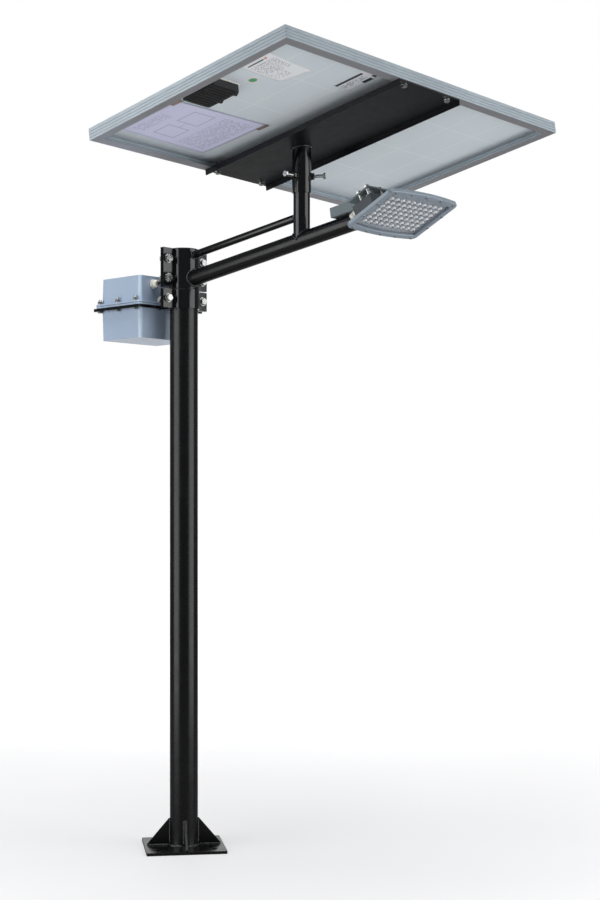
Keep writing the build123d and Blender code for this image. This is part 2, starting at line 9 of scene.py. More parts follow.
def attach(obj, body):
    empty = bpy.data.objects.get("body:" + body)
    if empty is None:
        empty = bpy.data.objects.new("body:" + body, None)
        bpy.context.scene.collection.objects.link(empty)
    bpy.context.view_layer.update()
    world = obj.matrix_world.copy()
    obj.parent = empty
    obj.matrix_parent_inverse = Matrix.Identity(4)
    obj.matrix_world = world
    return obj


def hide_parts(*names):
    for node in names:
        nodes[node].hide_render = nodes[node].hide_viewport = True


# Solar street lamp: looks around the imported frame. Metres; the numbers marked mm are scaled by MM.
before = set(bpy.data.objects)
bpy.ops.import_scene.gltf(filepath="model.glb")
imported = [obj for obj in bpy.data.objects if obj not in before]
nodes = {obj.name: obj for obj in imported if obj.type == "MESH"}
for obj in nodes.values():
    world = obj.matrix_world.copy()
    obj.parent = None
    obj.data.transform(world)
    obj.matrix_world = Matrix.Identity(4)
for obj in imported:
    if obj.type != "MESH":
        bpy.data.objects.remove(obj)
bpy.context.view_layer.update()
random.seed(7)
scene = bpy.context.scene
MM = 0.001

# ------------------------------------------------------------------ places shared with the CAD
PANEL_TILT, PANEL_CANT = radians(10.64), radians(2.5)
LAMP_TILT = radians(26.0)
ARM_SLOPE = radians(8.385)


def basis(origin, x, z):
    x, z = Vector(x).normalized(), Vector(z).normalized()
    y = z.cross(x)
    m = Matrix.Identity(4)
    for i, v in enumerate((x, y, z)):
        for j in range(3):
            m[j][i] = v[j]
    for j in range(3):
        m[j][3] = origin[j] * MM
    return m


n0 = Vector((-sin(PANEL_TILT), 0, cos(PANEL_TILT)))
PANEL = basis((528.0, 10.0, 1852.5), (cos(PANEL_TILT), 0, sin(PANEL_TILT)),
              n0 * cos(PANEL_CANT) + Vector((0, 1, 0)) * sin(PANEL_CANT))
LAMP = basis((771.8, 0.0, 1622.5), (cos(LAMP_TILT), 0, sin(LAMP_TILT)), (-sin(LAMP_TILT), 0, cos(LAMP_TILT)))
ARM = basis((0, 0, 1536.3), (cos(ARM_SLOPE), 0, sin(ARM_SLOPE)), (-sin(ARM_SLOPE), 0, cos(ARM_SLOPE)))


def at(m, x, y, z):
    return m @ Vector((x * MM, y * MM, z * MM))


# ------------------------------------------------------------------ node helpers
class Mat:
    def __init__(self, name):
        self.m = bpy.data.materials.new(name)
        self.m.use_nodes = True
        self.nt = self.m.node_tree
        self.p = next(n for n in self.nt.nodes if n.type == "BSDF_PRINCIPLED")
        self.tc = self.nt.nodes.new("ShaderNodeTexCoord")
        self.obj = self.tc.outputs["Object"]

    def new(self, kind):
        return self.nt.nodes.new(kind)

    def link(self, a, b):
        self.nt.links.new(a, b)

    def put(self, sock, v):
        if hasattr(v, "is_output"):
            self.link(v, sock)
        else:
            sock.default_value = v

    def set(self, **kw):
        names = {"base": "Base Color", "metal": "Metallic", "rough": "Roughness", "ior": "IOR", "alpha": "Alpha",
                 "normal": "Normal", "coat": "Coat Weight", "coat_rough": "Coat Roughness", "spec": "Specular IOR Level",
                 "trans": "Transmission Weight", "sheen": "Sheen Weight", "sss": "Subsurface Weight"}
        for k, v in kw.items():
            if isinstance(v, tuple) and len(v) == 3:
                v = (*v, 1.0)
            self.put(self.p.inputs[names[k]], v)
        return self

    def noise(self, scale, detail=3.0, rough=0.55, vec=None, stretch=None):
        v = vec or self.obj
        if stretch:
            mp = self.new("ShaderNodeMapping")
            mp.inputs["Scale"].default_value = stretch
            self.link(v, mp.inputs["Vector"])
            v = mp.outputs["Vector"]
        n = self.new("ShaderNodeTexNoise")
        n.inputs["Scale"].default_value = scale
        n.inputs["Detail"].default_value = detail
        n.inputs["Roughness"].default_value = rough
        self.link(v, n.inputs["Vector"])
        return n.outputs["Fac"]

    def voronoi(self, scale, feature="F1", vec=None):
        n = self.new("ShaderNodeTexVoronoi")
        n.feature = feature
        n.inputs["Scale"].default_value = scale
        self.link(vec or self.obj, n.inputs["Vector"])
        return n.outputs["Distance"]

    def remap(self, v, a, b, c, d, smooth=False):
        n = self.new("ShaderNodeMapRange")
        if smooth:
            n.interpolation_type = "SMOOTHSTEP"
        self.put(n.inputs["Value"], v)
        for i, k in zip((a, b, c, d), ("From Min", "From Max", "To Min", "To Max")):
            n.inputs[k].default_value = i
        return n.outputs["Result"]

    def math(self, op, a, b=0.0, c=None):
        n = self.new("ShaderNodeMath")
        n.operation = op
        self.put(n.inputs[0], a)
        self.put(n.inputs[1], b)
        if c is not None:
            self.put(n.inputs[2], c)
        return n.outputs[0]

    def mix(self, fac, a, b):
        n = self.new("ShaderNodeMix")
        n.data_type = "RGBA"
        self.put(n.inputs["Factor"], fac)
        cols = [s for s in n.inputs if s.type == "RGBA"]
        for s, v in zip(cols, (a, b)):
            if isinstance(v, tuple) and len(v) == 3:
                v = (*v, 1.0)
            self.put(s, v)
        return next(o for o in n.outputs if o.type == "RGBA")

    def bump(self, height, strength, dist, normal=None):
        n = self.new("ShaderNodeBump")
        n.inputs["Strength"].default_value = strength
        n.inputs["Distance"].default_value = dist
        self.link(height, n.inputs["Height"])
        if normal is not None:
            self.link(normal, n.inputs["Normal"])
        return n.outputs["Normal"]

    def bevel(self, radius):
        n = self.new("ShaderNodeBevel")
        n.samples = 4
        n.inputs["Radius"].default_value = radius
        return n.outputs["Normal"]

    def edges(self, bev):
        g = self.new("ShaderNodeNewGeometry")
        d = self.new("ShaderNodeVectorMath")
        d.operation = "DOT_PRODUCT"
        self.link(bev, d.inputs[0])
        self.link(g.outputs["True Normal"], d.inputs[1])
        return self.remap(d.outputs["Value"], 0.80, 0.97, 1.0, 0.0)

    def local(self, m):
        n = self.new("ShaderNodeMapping")
        n.vector_type = "TEXTURE"
        n.inputs["Location"].default_value = m.to_translation()
        n.inputs["Rotation"].default_value = m.to_3x3().to_euler("XYZ")
        self.link(self.obj, n.inputs["Vector"])
        return n.outputs["Vector"]

    def axes(self, v):
        n = self.new("ShaderNodeSeparateXYZ")
        self.link(v, n.inputs[0])
        return n.outputs[0], n.outputs[1], n.outputs[2]

    def fract(self, v, k, off=0.0):
        return self.math("FRACT", self.math("MULTIPLY_ADD", v, k, off))

    def band(self, v, lo, hi):
        return self.math("MULTIPLY", self.math("GREATER_THAN", v, lo), self.math("LESS_THAN", v, hi))


def srgb(r, g, b):
    def f(c):
        c /= 255.0
        return c / 12.92 if c <= 0.04045 else ((c + 0.055) / 1.055) ** 2.4
    return (f(r), f(g), f(b))


def paint(name, col, edge_col, rough, peel, peel_scale, coat=0.0, speck=0.25, bev=0.0008, metal=0.0, spec=0.5):
    """sprayed or powder paint: orange peel, faint cloudiness, thin edges, specks of dust"""
    k = Mat(name)
    b = k.bevel(bev)
    cloud = k.noise(9.0, 4.0)
    col2 = tuple(c * (1 + speck) for c in col)
    base = k.mix(k.remap(cloud, 0.3, 0.7, 0.0, 1.0), col, col2)
    edge = k.edges(b)
    scuff = k.remap(k.noise(85.0, 6.0, 0.7), 0.42, 0.62, 0.0, 0.7)
    base = k.mix(k.math("MULTIPLY", edge, scuff), base, edge_col)
    r = k.remap(k.noise(26.0, 5.0, 0.65), 0.3, 0.7, rough * 0.82, rough * 1.22)
    nrm = k.bump(k.noise(peel_scale, 2.0, 0.5), peel, 0.0006, b)
    nrm = k.bump(k.noise(peel_scale * 6, 3.0, 0.6), peel * 0.35, 0.0002, nrm)
    k.set(base=base, rough=r, normal=nrm, metal=metal, coat=coat, spec=spec)
    if coat:
        k.set(coat_rough=0.05)
    return k.m


M = {}
M["black_paint"] = paint("black_satin_paint", (0.0030, 0.0032, 0.0036), (0.045, 0.047, 0.05), 0.25, 0.045, 420.0)
M["black_gloss"] = paint("black_gloss_paint", (0.0030, 0.0034, 0.0042), (0.055, 0.057, 0.062), 0.11, 0.12, 240.0, coat=0.25)
M["black_sheet"] = paint("black_sheet_paint", (0.0055, 0.0065, 0.0085), (0.045, 0.048, 0.053), 0.34, 0.08, 300.0, spec=0.28)
M["weld"] = paint("painted_weld", (0.006, 0.0065, 0.0075), (0.06, 0.062, 0.066), 0.10, 0.35, 900.0, coat=0.7, bev=0.0003)
M["grey_green_paint"] = paint("grey_green_paint", srgb(112, 124, 127), srgb(160, 168, 170), 0.42, 0.25, 700.0, speck=0.10)
M["lamp_silver"] = paint("lamp_silver_paint", srgb(146, 158, 169), srgb(190, 198, 205), 0.36, 0.22, 900.0, speck=0.08, metal=0.25, bev=0.0006)
M["driver_grey"] = paint("driver_grey_paint", srgb(72, 79, 84), srgb(120, 126, 130), 0.48, 0.35, 800.0, speck=0.15)


def plastic(name, col, rough, grain, scale, corner_painted_highlight=0.0, speck=0.06, bev=0.0006, coat=0.0):
    """moulded plastic: fine spark-eroded grain, flow marks, edges painted paler as a painted highlight"""
    k = Mat(name)
    b = k.bevel(bev)
    flow = k.noise(7.0, 3.0, 0.5, stretch=(1.0, 1.0, 0.35))
    base = k.mix(k.remap(flow, 0.3, 0.7, 0.0, 1.0), tuple(c * (1 - speck) for c in col), tuple(min(1, c * (1 + speck)) for c in col))
    edge = k.edges(b)
    # painted highlight: every bevelled edge is painted 35% paler than the flats
    base = k.mix(k.math("MULTIPLY", edge, 0.35), base, tuple(min(1.0, c * 1.35 + 0.02) for c in col))
    if corner_painted_highlight:
        # painted highlight: the rounded vertical corners are painted paler than the flats
        nx, ny, nz = k.axes(k.tc.outputs["Normal"])
        both = k.math("ABSOLUTE", k.math("MULTIPLY", nx, ny))
        base = k.mix(k.math("MULTIPLY", k.remap(both, 0.15, 0.45, 0.0, 1.0, True), corner_painted_highlight), base, tuple(min(1.0, c * 1.55 + 0.05) for c in col))
    r = k.remap(k.noise(40.0, 4.0), 0.3, 0.7, rough * 0.88, rough * 1.12)
    nrm = k.bump(k.noise(scale, 2.0, 0.6), grain, 0.0003, b)
    nrm = k.bump(k.voronoi(scale * 0.55), grain * 0.5, 0.0003, nrm)
    k.set(base=base, rough=r, normal=nrm, coat=coat)
    return k.m


M["black_plastic"] = plastic("black_plastic", (0.010, 0.0105, 0.0115), 0.32, 0.22, 1500.0, speck=0.2)
M["box_plastic"] = plastic("box_plastic", srgb(170, 188, 210), 0.36, 0.22, 1200.0, corner_painted_highlight=0.75, coat=0.3)
M["cream_nylon"] = plastic("cream_nylon", srgb(238, 236, 226), 0.34, 0.18, 1400.0)
M["battery_blue"] = plastic("battery_wrap", srgb(48, 86, 150), 0.32, 0.12, 400.0)
M["seal_rubber"] = plastic("seal_rubber", (0.012, 0.012, 0.013), 0.70, 0.45, 1800.0, speck=0.25)


def metal(name, col, rough, streak, tint=None, bev=0.0005):
    k = Mat(name)
    b = k.bevel(bev)
    fine = k.noise(60.0, 5.0, 0.65)
    c2 = tint or tuple(c * 0.82 for c in col)
    base = k.mix(k.remap(fine, 0.38, 0.66, 0.0, 1.0), col, c2)
    r = k.remap(k.noise(220.0, 4.0, 0.6, stretch=streak), 0.3, 0.7, rough * 0.75, rough * 1.3)
    nrm = k.bump(k.noise(700.0, 3.0, 0.6, stretch=streak), 0.18, 0.0003, b)
    k.set(base=base, rough=r, normal=nrm, metal=1.0)
    return k.m


M["zinc_steel"] = metal("zinc_plated_steel", (0.66, 0.67, 0.68), 0.24, (1, 1, 1), tint=(0.56, 0.56, 0.52))

# anodised frame: extrusion streaks along each rail, seen in the panel's own axes
k = Mat("anodised_aluminium")
loc = k.local(PANEL)
b = k.bevel(0.0007)
st = k.noise(900.0, 4.0, 0.6, vec=loc, stretch=(0.05, 0.05, 1.0))
cl = k.noise(5.0, 3.0, vec=loc)
base = k.mix(k.remap(st, 0.3, 0.7, 0.0, 1.0), srgb(194, 206, 214), srgb(214, 225, 233))
base = k.mix(k.remap(cl, 0.35, 0.7, 0.0, 0.40), base, srgb(172, 184, 194))
u, v, w = k.axes(loc)
# painted shade: the three rail grooves are painted darker
painted_groove_shade = k.math("ADD", k.band(w, 0.0050, 0.0070), k.math("ADD", k.band(w, 0.0125, 0.0145), k.band(w, 0.0200, 0.0220)))
base = k.mix(k.math("MULTIPLY", painted_groove_shade, 0.55), base, srgb(120, 127, 132))
inside = k.math("MULTIPLY", k.math("LESS_THAN", k.math("ABSOLUTE", u), 0.3336), k.math("LESS_THAN", k.math("ABSOLUTE", v), 0.5011))
lip = k.math("MULTIPLY", k.math("LESS_THAN", w, 0.0022), inside)
base = k.mix(k.math("MULTIPLY", lip, 0.85), base, srgb(158, 155, 158))
k.set(base=base, metal=0.50, rough=k.remap(st, 0.3, 0.7, 0.28, 0.42), normal=k.bump(st, 0.10, 0.0002, b))
M["frame_aluminium"] = k.m

# back sheet: the cells' gaps show through as paler lines, in the panel's own axes
k = Mat("panel_backsheet_film")
loc = k.local(PANEL)
u, v, w = k.axes(loc)
fu = k.math("ABSOLUTE", k.math("SUBTRACT", k.fract(u, 1 / 0.159, 0.0), 0.5))
fv = k.math("ABSOLUTE", k.math("SUBTRACT", k.fract(v, 1 / 0.108, 0.5), 0.5))
gap_u = k.remap(fu, 0.484, 0.494, 0.0, 1.0, True)
gap_v = k.remap(fv, 0.479, 0.489, 0.0, 1.0, True)
gap = k.math("MAXIMUM", gap_u, gap_v)
# painted shade: a darker band along the frame's inner edge
edge_u = k.remap(k.math("ABSOLUTE", u), 0.3165, 0.3195, 0.0, 1.0, True)
edge_v = k.remap(k.math("ABSOLUTE", v), 0.4845, 0.4875, 0.0, 1.0, True)
painted_frame_shade = k.math("MAXIMUM", edge_u, edge_v)
cloud = k.noise(3.2, 4.0, 0.55, vec=loc)
base = k.mix(k.remap(cloud, 0.3, 0.7, 0.0, 1.0), srgb(210, 219, 224), srgb(218, 226, 230))
base = k.mix(k.math("MULTIPLY", gap, 0.55), base, srgb(232, 236, 239))
base = k.mix(k.math("MULTIPLY", painted_frame_shade, 0.6), base, srgb(196, 203, 208))
bus = k.math("ABSOLUTE", k.math("SUBTRACT", k.fract(u, 3 / 0.159, 0.0), 0.5))
busline = k.remap(bus, 0.03, 0.012, 0.0, 1.0, True)
hgt = k.math("ADD", k.math("MULTIPLY", gap, 1.0), k.math("MULTIPLY", busline, 0.35))
nrm = k.bump(hgt, 0.25, 0.0003)
nrm = k.bump(k.noise(900.0, 3.0, vec=loc), 0.10, 0.0002, nrm)
k.set(base=base, rough=k.remap(cloud, 0.3, 0.7, 0.36, 0.46), normal=nrm)
M["backsheet_white"] = k.m

# cells: blue silicon nitride over crystalline grain, five busbars and fine fingers
k = Mat("silicon_cells")
loc = k.local(PANEL)
u, v, w = k.axes(loc)
grain = k.new("ShaderNodeTexVoronoi")
grain.inputs["Scale"].default_value = 95.0
k.link(loc, grain.inputs["Vector"])
sep = k.new("ShaderNodeSeparateColor")
k.link(grain.outputs["Color"], sep.inputs[0])
base = k.mix(k.remap(sep.outputs[0], 0.0, 1.0, 0.0, 1.0), (0.010, 0.022, 0.085), (0.018, 0.038, 0.135))
cu = k.fract(u, 1 / 0.159, 0.0)
bb = k.math("ABSOLUTE", k.math("SUBTRACT", k.fract(cu, 5.0, 0.0), 0.5))
busbar = k.remap(bb, 0.030, 0.018, 0.0, 1.0, True)
fg = k.math("ABSOLUTE", k.math("SUBTRACT", k.fract(v, 1 / 0.0021, 0.0), 0.5))
finger = k.remap(fg, 0.07, 0.03, 0.0, 0.45, True)
lines = k.math("MAXIMUM", busbar, finger)
base = k.mix(lines, base, (0.55, 0.56, 0.58))
k.set(base=base, rough=k.remap(lines, 0.0, 1.0, 0.22, 0.38), metal=k.remap(lines, 0.0, 1.0, 0.0, 0.8), coat=0.4)
M["cell_silicon"] = k.m

# solar glass: low-iron, with a fine pyramid grain that softens what it mirrors
k = Mat("solar_glass")
loc = k.local(PANEL)
nrm = k.bump(k.voronoi(900.0, vec=loc), 0.05, 0.0002)
k.set(base=(0.80, 0.88, 0.88), rough=k.remap(k.noise(14.0, 4.0, vec=loc), 0.3, 0.7, 0.07, 0.13), normal=nrm, alpha=0.16, ior=1.5, coat=0.5)
M["clear_glass"] = k.m

# lens: clear moulded optic over the board
k = Mat("lens_optic")
loc = k.local(LAMP)
nrm = k.bump(k.noise(300.0, 2.0, vec=loc), 0.06, 0.0002)
k.set(base=k.mix(k.remap(k.noise(40.0, 3.0, vec=loc), 0.3, 0.7, 0, 1), (0.50, 0.55, 0.61), (0.56, 0.60, 0.66)),
      rough=k.remap(k.noise(90.0, 3.0, vec=loc), 0.3, 0.7, 0.07, 0.14), normal=nrm, alpha=0.26, ior=1.49, coat=0.7)
M["lens_clear"] = k.m

# board: white solder mask with faint tracks between the diodes
k = Mat("led_board_mask")
loc = k.local(LAMP)
a, y, n = k.axes(loc)
tr = k.math("ABSOLUTE", k.math("SUBTRACT", k.fract(y, 1 / 0.020, 0.0), 0.5))
track = k.remap(tr, 0.06, 0.03, 0.0, 1.0, True)
base = k.mix(k.math("MULTIPLY", track, 0.5), srgb(158, 170, 182), srgb(136, 148, 160))
base = k.mix(k.remap(k.noise(60.0, 3.0, vec=loc), 0.35, 0.7, 0.0, 0.3), base, srgb(172, 183, 193))
k.set(base=base, rough=k.remap(track, 0.0, 1.0, 0.40, 0.30), normal=k.bump(track, 0.3, 0.0002))
M["board_white"] = k.m

# diodes: yellow phosphor, domed towards the middle of each package
k = Mat("led_phosphor")
loc = k.local(LAMP)
a, y, n = k.axes(loc)
da = k.math("ABSOLUTE", k.math("SUBTRACT", k.fract(a, 1 / 0.0156, 0.5), 0.5))
dy = k.math("ABSOLUTE", k.math("SUBTRACT", k.fract(y, 1 / 0.020, 0.0), 0.5))
rim = k.math("MAXIMUM", k.remap(da, 0.080, 0.096, 0.0, 1.0, True), k.remap(dy, 0.060, 0.074, 0.0, 1.0, True))
base = k.mix(rim, srgb(238, 206, 92), srgb(240, 238, 228))
base = k.mix(k.remap(k.noise(900.0, 3.0, vec=loc), 0.3, 0.7, 0.0, 0.3), base, srgb(214, 176, 60))
k.set(base=base, rough=k.remap(rim, 0.0, 1.0, 0.55, 0.35))
M["led_yellow"] = k.m

GLOSS_NODES = {"collar_front_shell", "collar_rear_shell", "box_clamp_front_shell", "box_clamp_rear_shell", "post_tube",
               "sleeve_tube", "arm_brace", "mounting_channel", "box_support_frame", "sleeve_nuts", "tube_plugs"}
for name, o in nodes.items():
    for s in o.material_slots:
        key = s.material.name.split(".")[0] if s.material else ""
        if key == "black_paint" and name in GLOSS_NODES:
            key = "black_sheet" if name == "mounting_channel" else "black_gloss"
        if key in M:
            s.material = M[key]
        else:
            print("no material for", name, key)


# ------------------------------------------------------------------ mesh helpers
def mesh_piece(name, verts, faces, material, body, slot=None, smooth=True, uvs=None):
    me = bpy.data.meshes.new(name)
    me.from_pydata([tuple(v) for v in verts], [], faces)
    me.validate()
    me.update()
    if uvs is not None:
        layer = me.uv_layers.new(name="UVMap")
        for li, loop in enumerate(me.loops):
            layer.data[li].uv = uvs[loop.vertex_index]
    me.polygons.foreach_set("use_smooth", [smooth] * len(me.polygons))
    me.materials.append(material)
    o = bpy.data.objects.new(name, me)
    scene.collection.objects.link(o)
    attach(o, body)
    return o


def resample(pts, step, closed):
    pts = [Vector(p) for p in pts]
    if closed:
        pts = pts + [pts[0]]
    lens = [0.0]
    for a_, b_ in zip(pts, pts[1:]):
        lens.append(lens[-1] + (b_ - a_).length)
    total = lens[-1]
    n_ = max(4, int(round(total / step)))
    out, j = [], 0
    for i in range(n_ if closed else n_ + 1):
        s = total * i / n_
        while j < len(lens) - 2 and lens[j + 1] < s:
            j += 1
        d = lens[j + 1] - lens[j]
        out.append(pts[j].lerp(pts[j + 1], (s - lens[j]) / d if d else 0.0))
    return out, total / n_


def bead_geo(pts, r, closed=False, rng=None, seg=10):
    """a weld bead: overlapping ripples, each a little wider at its leading edge"""
    rng = rng or random.Random(11)
    line, step = resample(pts, 0.55 * MM, closed)
    verts, faces, n_ = [], [], len(line)
    pitch = max(2.0 * MM, 0.95 * r)
    jit = [rng.uniform(-0.16, 0.16) for _ in range(int(n_ * step / pitch) + 3)]
    tan_prev = None
    up = Vector((0.31, 0.17, 0.93)).normalized()
    for i, p in enumerate(line):
        a_ = line[(i - 1) % n_] if (closed or i > 0) else line[i]
        b_ = line[(i + 1) % n_] if (closed or i < n_ - 1) else line[i]
        t = (b_ - a_).normalized()
        x = up - t * up.dot(t)
        x = x.normalized() if x.length > 1e-6 else Vector((1, 0, 0))
        up = x
        yv = t.cross(x)
        s = i * step / pitch
        f = s - floor(s)
        k_ = 0.86 + 0.26 * sqrt(max(0.0, 1 - f)) + jit[int(s)]
        if not closed:
            e = min(i, n_ - 1 - i) * step / (1.6 * r)
            if e < 1:
                k_ *= sqrt(max(0.02, 1 - (1 - e) ** 2))
        for q in range(seg):
            th = 2 * pi * q / seg
            verts.append(p + (x * cos(th) + yv * sin(th)) * r * k_)
    for i in range(n_ if closed else n_ - 1):
        j = (i + 1) % n_
        for q in range(seg):
            q2 = (q + 1) % seg
            faces.append((i * seg + q, i * seg + q2, j * seg + q2, j * seg + q))
    if not closed:
        faces.append(tuple(range(seg - 1, -1, -1)))
        faces.append(tuple((n_ - 1) * seg + q for q in range(seg)))
    return verts, faces


def join(parts):
    verts, faces = [], []
    for vs, fs in parts:
        o_ = len(verts)
        verts += vs
        faces += [tuple(i + o_ for i in f) for f in fs]
    return verts, faces


def beads(name, lines, r, body, closed=False):
    rng = random.Random(len(name) * 31 + len(lines))
    vs, fs = join([bead_geo(l, r * MM, closed, rng) for l in lines])
    return mesh_piece(name, vs, fs, M["weld"], body, "black_paint")


def ring_on_pole_cyl(axis, off, r, R, cx=0.0, side=1, n_=120):
    """where a sloping tube (axis matrix, not used; radius r, raised by off) meets an upright cylinder R at X = cx"""
    out = []
    a = ARM_SLOPE
    for i in range(n_):
        t = 2 * pi * i / n_
        yy, h = r * cos(t), off + r * sin(t)
        X = cx + side * sqrt(R * R - yy * yy)
        s = (X + h * sin(a)) / cos(a)
        out.append(Vector((X, yy, 1536.3 + s * sin(a) + h * cos(a))) * MM)
    return out


beads("weld_arm_root", [ring_on_pole_cyl(ARM, 0.0, 21.6, 42.3)], 3.7, "root", True)
# the brace's axis is raised straight up by 62.5, which is 62.5 cos(slope) square to the arm and a shift along it
def brace_ring(cx, R, side, r=10.3, n_=72):
    out, a = [], ARM_SLOPE
    for i in range(n_):
        t = 2 * pi * i / n_
        yy, h = r * cos(t), r * sin(t)
        X = cx + side * sqrt(R * R - yy * yy)
        s = (X + h * sin(a)) / cos(a)
        out.append(Vector((X, yy, 1536.3 + 62.5 + s * sin(a) + h * cos(a))) * MM)
    return out


beads("weld_brace_root", [brace_ring(0.0, 42.2, 1)], 2.2, "root", True)
beads("weld_brace_post", [brace_ring(438.0, 21.4, -1)], 2.2, "root", True)
saddle = []
for i in range(120):
    t = 2 * pi * i / 120
    h = 21.4 * abs(cos(t))
    X = 438.0 + 21.6 * cos(t)
    s = (X + h * sin(ARM_SLOPE)) / cos(ARM_SLOPE)
    saddle.append(Vector((X, 21.6 * sin(t), 1536.3 + s * sin(ARM_SLOPE) + h * cos(ARM_SLOPE))) * MM)
beads("weld_post_foot", [saddle], 2.8, "root", True)

Pinv = PANEL.inverted()
pz = PANEL.to_3x3() @ Vector((0, 0, 1))
top = []
for i in range(96):
    t = 2 * pi * i / 96
    X, Y = (438.0 + 24.5 * cos(t)) * MM, 24.5 * sin(t) * MM
    c0 = at(PANEL, 0, 0, -3.2)
    z = c0.z - (pz.x * (X - c0.x) + pz.y * (Y - c0.y)) / pz.z
    top.append(Vector((X, Y, z)))
beads("weld_sleeve_top", [top], 2.9, "panel", True)

nut_rings = []
for az in (-90.0, 30.0, 150.0):
    d = Vector((cos(radians(az)), sin(radians(az)), 0))
    e = Vector((-d.y, d.x, 0))
    ring = []
    for i in range(72):
        t = 2 * pi * i / 72
        q = pi / 3
        tt = (t + pi / 6) % q - q / 2
        rr = (7.5 / cos(tt)) * 0.55 + 8.3 * 0.45 + 0.4
        yy, zz = rr * cos(t), rr * sin(t)
        out = sqrt(max(0.0, 24.3 ** 2 - yy * yy))
        ring.append((Vector((438.0, 0, 1762.0)) + d * out + e * yy + Vector((0, 0, zz))) * MM)
    nut_rings.append(ring)
beads("weld_sleeve_nuts", nut_rings, 1.5, "panel", True)

foot, ups = [], []
for k_ in range(4):
    th = radians(52 + 90 * k_)
    d = Vector((cos(th), sin(th), 0))
    e = Vector((-d.y, d.x, 0))
    for s in (-1, 1):
        foot.append([(d * q + e * (s * 3.2) + Vector((0, 0, 8.3))) * MM for q in (40.5, 60, 80, 99)])
        rr = sqrt(38.3 ** 2 - 3.4 ** 2)
        ups.append([(d * rr + e * (s * 3.4) + Vector((0, 0, z_))) * MM for z_ in (12, 30, 55, 78)])
beads("weld_gusset_feet", foot, 3.0, "root")
beads("weld_gusset_sides", ups, 2.6, "root")
arcs = []
for k_ in range(4):
    t0, t1 = radians(52 + 90 * k_ + 6.5), radians(52 + 90 * (k_ + 1) - 6.5)
    arcs.append([Vector((38.5 * cos(t0 + (t1 - t0) * i / 30), 38.5 * sin(t0 + (t1 - t0) * i / 30), 8.4)) * MM for i in range(31)])
beads("weld_pole_foot", arcs, 3.6, "root")
frame_w = []
for s in (-1, 1):
    frame_w.append([Vector((-41.6 if abs(yy) < 6 else -sqrt(42.3 ** 2 - yy * yy), s * 0 + yy, 1471.4)) * MM for yy in [(-26 + 52 * i / 24) for i in range(25)]] if s > 0 else
                   [Vector((-sqrt(42.3 ** 2 - yy * yy), yy, 1462.6)) * MM for yy in [(-26 + 52 * i / 24) for i in range(25)]])
beads("weld_box_frame", frame_w, 2.0, "root")
br = []
for s in (-1, 1):
    br.append([at(ARM, x_, s * 21.9, 19.8) for x_ in (574, 590, 606, 621)])
beads("weld_arm_bracket", br, 1.9, "root")
ends = [at(ARM, 625.9, 21.3 * cos(2 * pi * i / 90), 21.3 * sin(2 * pi * i / 90)) for i in range(90)]
beads("weld_arm_end", [ends], 1.1, "root", True)


def thread_geo(p, d, r, length, pitch, depth):
    """rolled thread: one helical ridge round a shank, with its end chamfered"""
    d = Vector(d).normalized()
    x = d.orthogonal().normalized()
    yv = d.cross(x)
    seg, per = 20, 5
    rows = max(3, int(length / pitch * per))
    verts, faces = [], []
    for i in range(rows + 1):
        s = length * i / rows
        for q in range(seg):
            th = 2 * pi * q / seg
            f = (s / pitch - q / seg) % 1.0
            ridge = 1 - abs(2 * f - 1)
            rr = r + depth * (ridge - 0.35)
            left = (length - s) / pitch
            if left < 0.8:
                rr -= depth * (0.8 - left)
            verts.append((Vector(p) + d * s + (x * cos(th) + yv * sin(th)) * rr) * MM)
    for i in range(rows):
        for q in range(seg):
            q2 = (q + 1) % seg
            faces.append((i * seg + q, i * seg + q2, (i + 1) * seg + q2, (i + 1) * seg + q))
    faces.append(tuple(rows * seg + q for q in range(seg)))
    return verts, faces


parts = []
for z_ in (1593.0, 1541.0, 1487.0):
    for s in (-1, 1):
        parts.append(thread_geo((-17.9, 63.0 * s, z_), (-1, 0, 0), 6.1, 3.75, 1.25, 0.6))
mesh_piece("clamp_bolt_threads", *join(parts), M["zinc_steel"], "root", "zinc_steel")
parts = []
box_bolts = [(x_, s * 108.4) for x_ in (-76.0, -149.0, -222.0) for s in (-1, 1)] + [(x_, y_) for x_ in (-57.6, -233.4) for y_ in (-38.0, 38.0)]
for (x_, y_) in box_bolts:
    parts.append(thread_geo((x_, y_, 1490.6), (0, 0, 1), 4.1, 5.2, 1.25, 0.45))
mesh_piece("box_bolt_threads", *join(parts), M["zinc_steel"], "root", "zinc_steel")
for az, tag in ((-90.0, "front"), (30.0, "right"), (150.0, "rear")):
    d = Vector((cos(radians(az)), sin(radians(az)), 0))
    vs, fs = thread_geo(Vector((438.0, 0, 1762.0)) + d * 32.6, d, 4.10, 24.2, 1.25, 0.34)
    mesh_piece("set_screw_thread_" + tag, vs, fs, M["zinc_steel"], "screw_" + tag, "zinc_steel")

# ------------------------------------------------------------------ lens plate with its seventy optics
def lamp_outline(off, rc, n_arc=22):
    a_, y_, B = 154.7 / 2 - off, 253.0 / 2 - off, 9.0
    pts = []
    R = (y_ * y_ + B * B) / (2 * B)
    for i in range(n_arc + 1):
        yy = -y_ + rc + (2 * y_ - 2 * rc) * i / n_arc
        pts.append((a_ - (R - B) + sqrt(R * R - yy * yy), yy))
    e1 = pts[-1][0]
    for i in range(1, 6):
        t = pi / 2 * i / 6
        pts.append((e1 - rc + rc * cos(t), y_ - rc + rc * sin(t)))
    pts.append((e1 - rc, y_))
    return pts + [(-p, -q) for p, q in pts]


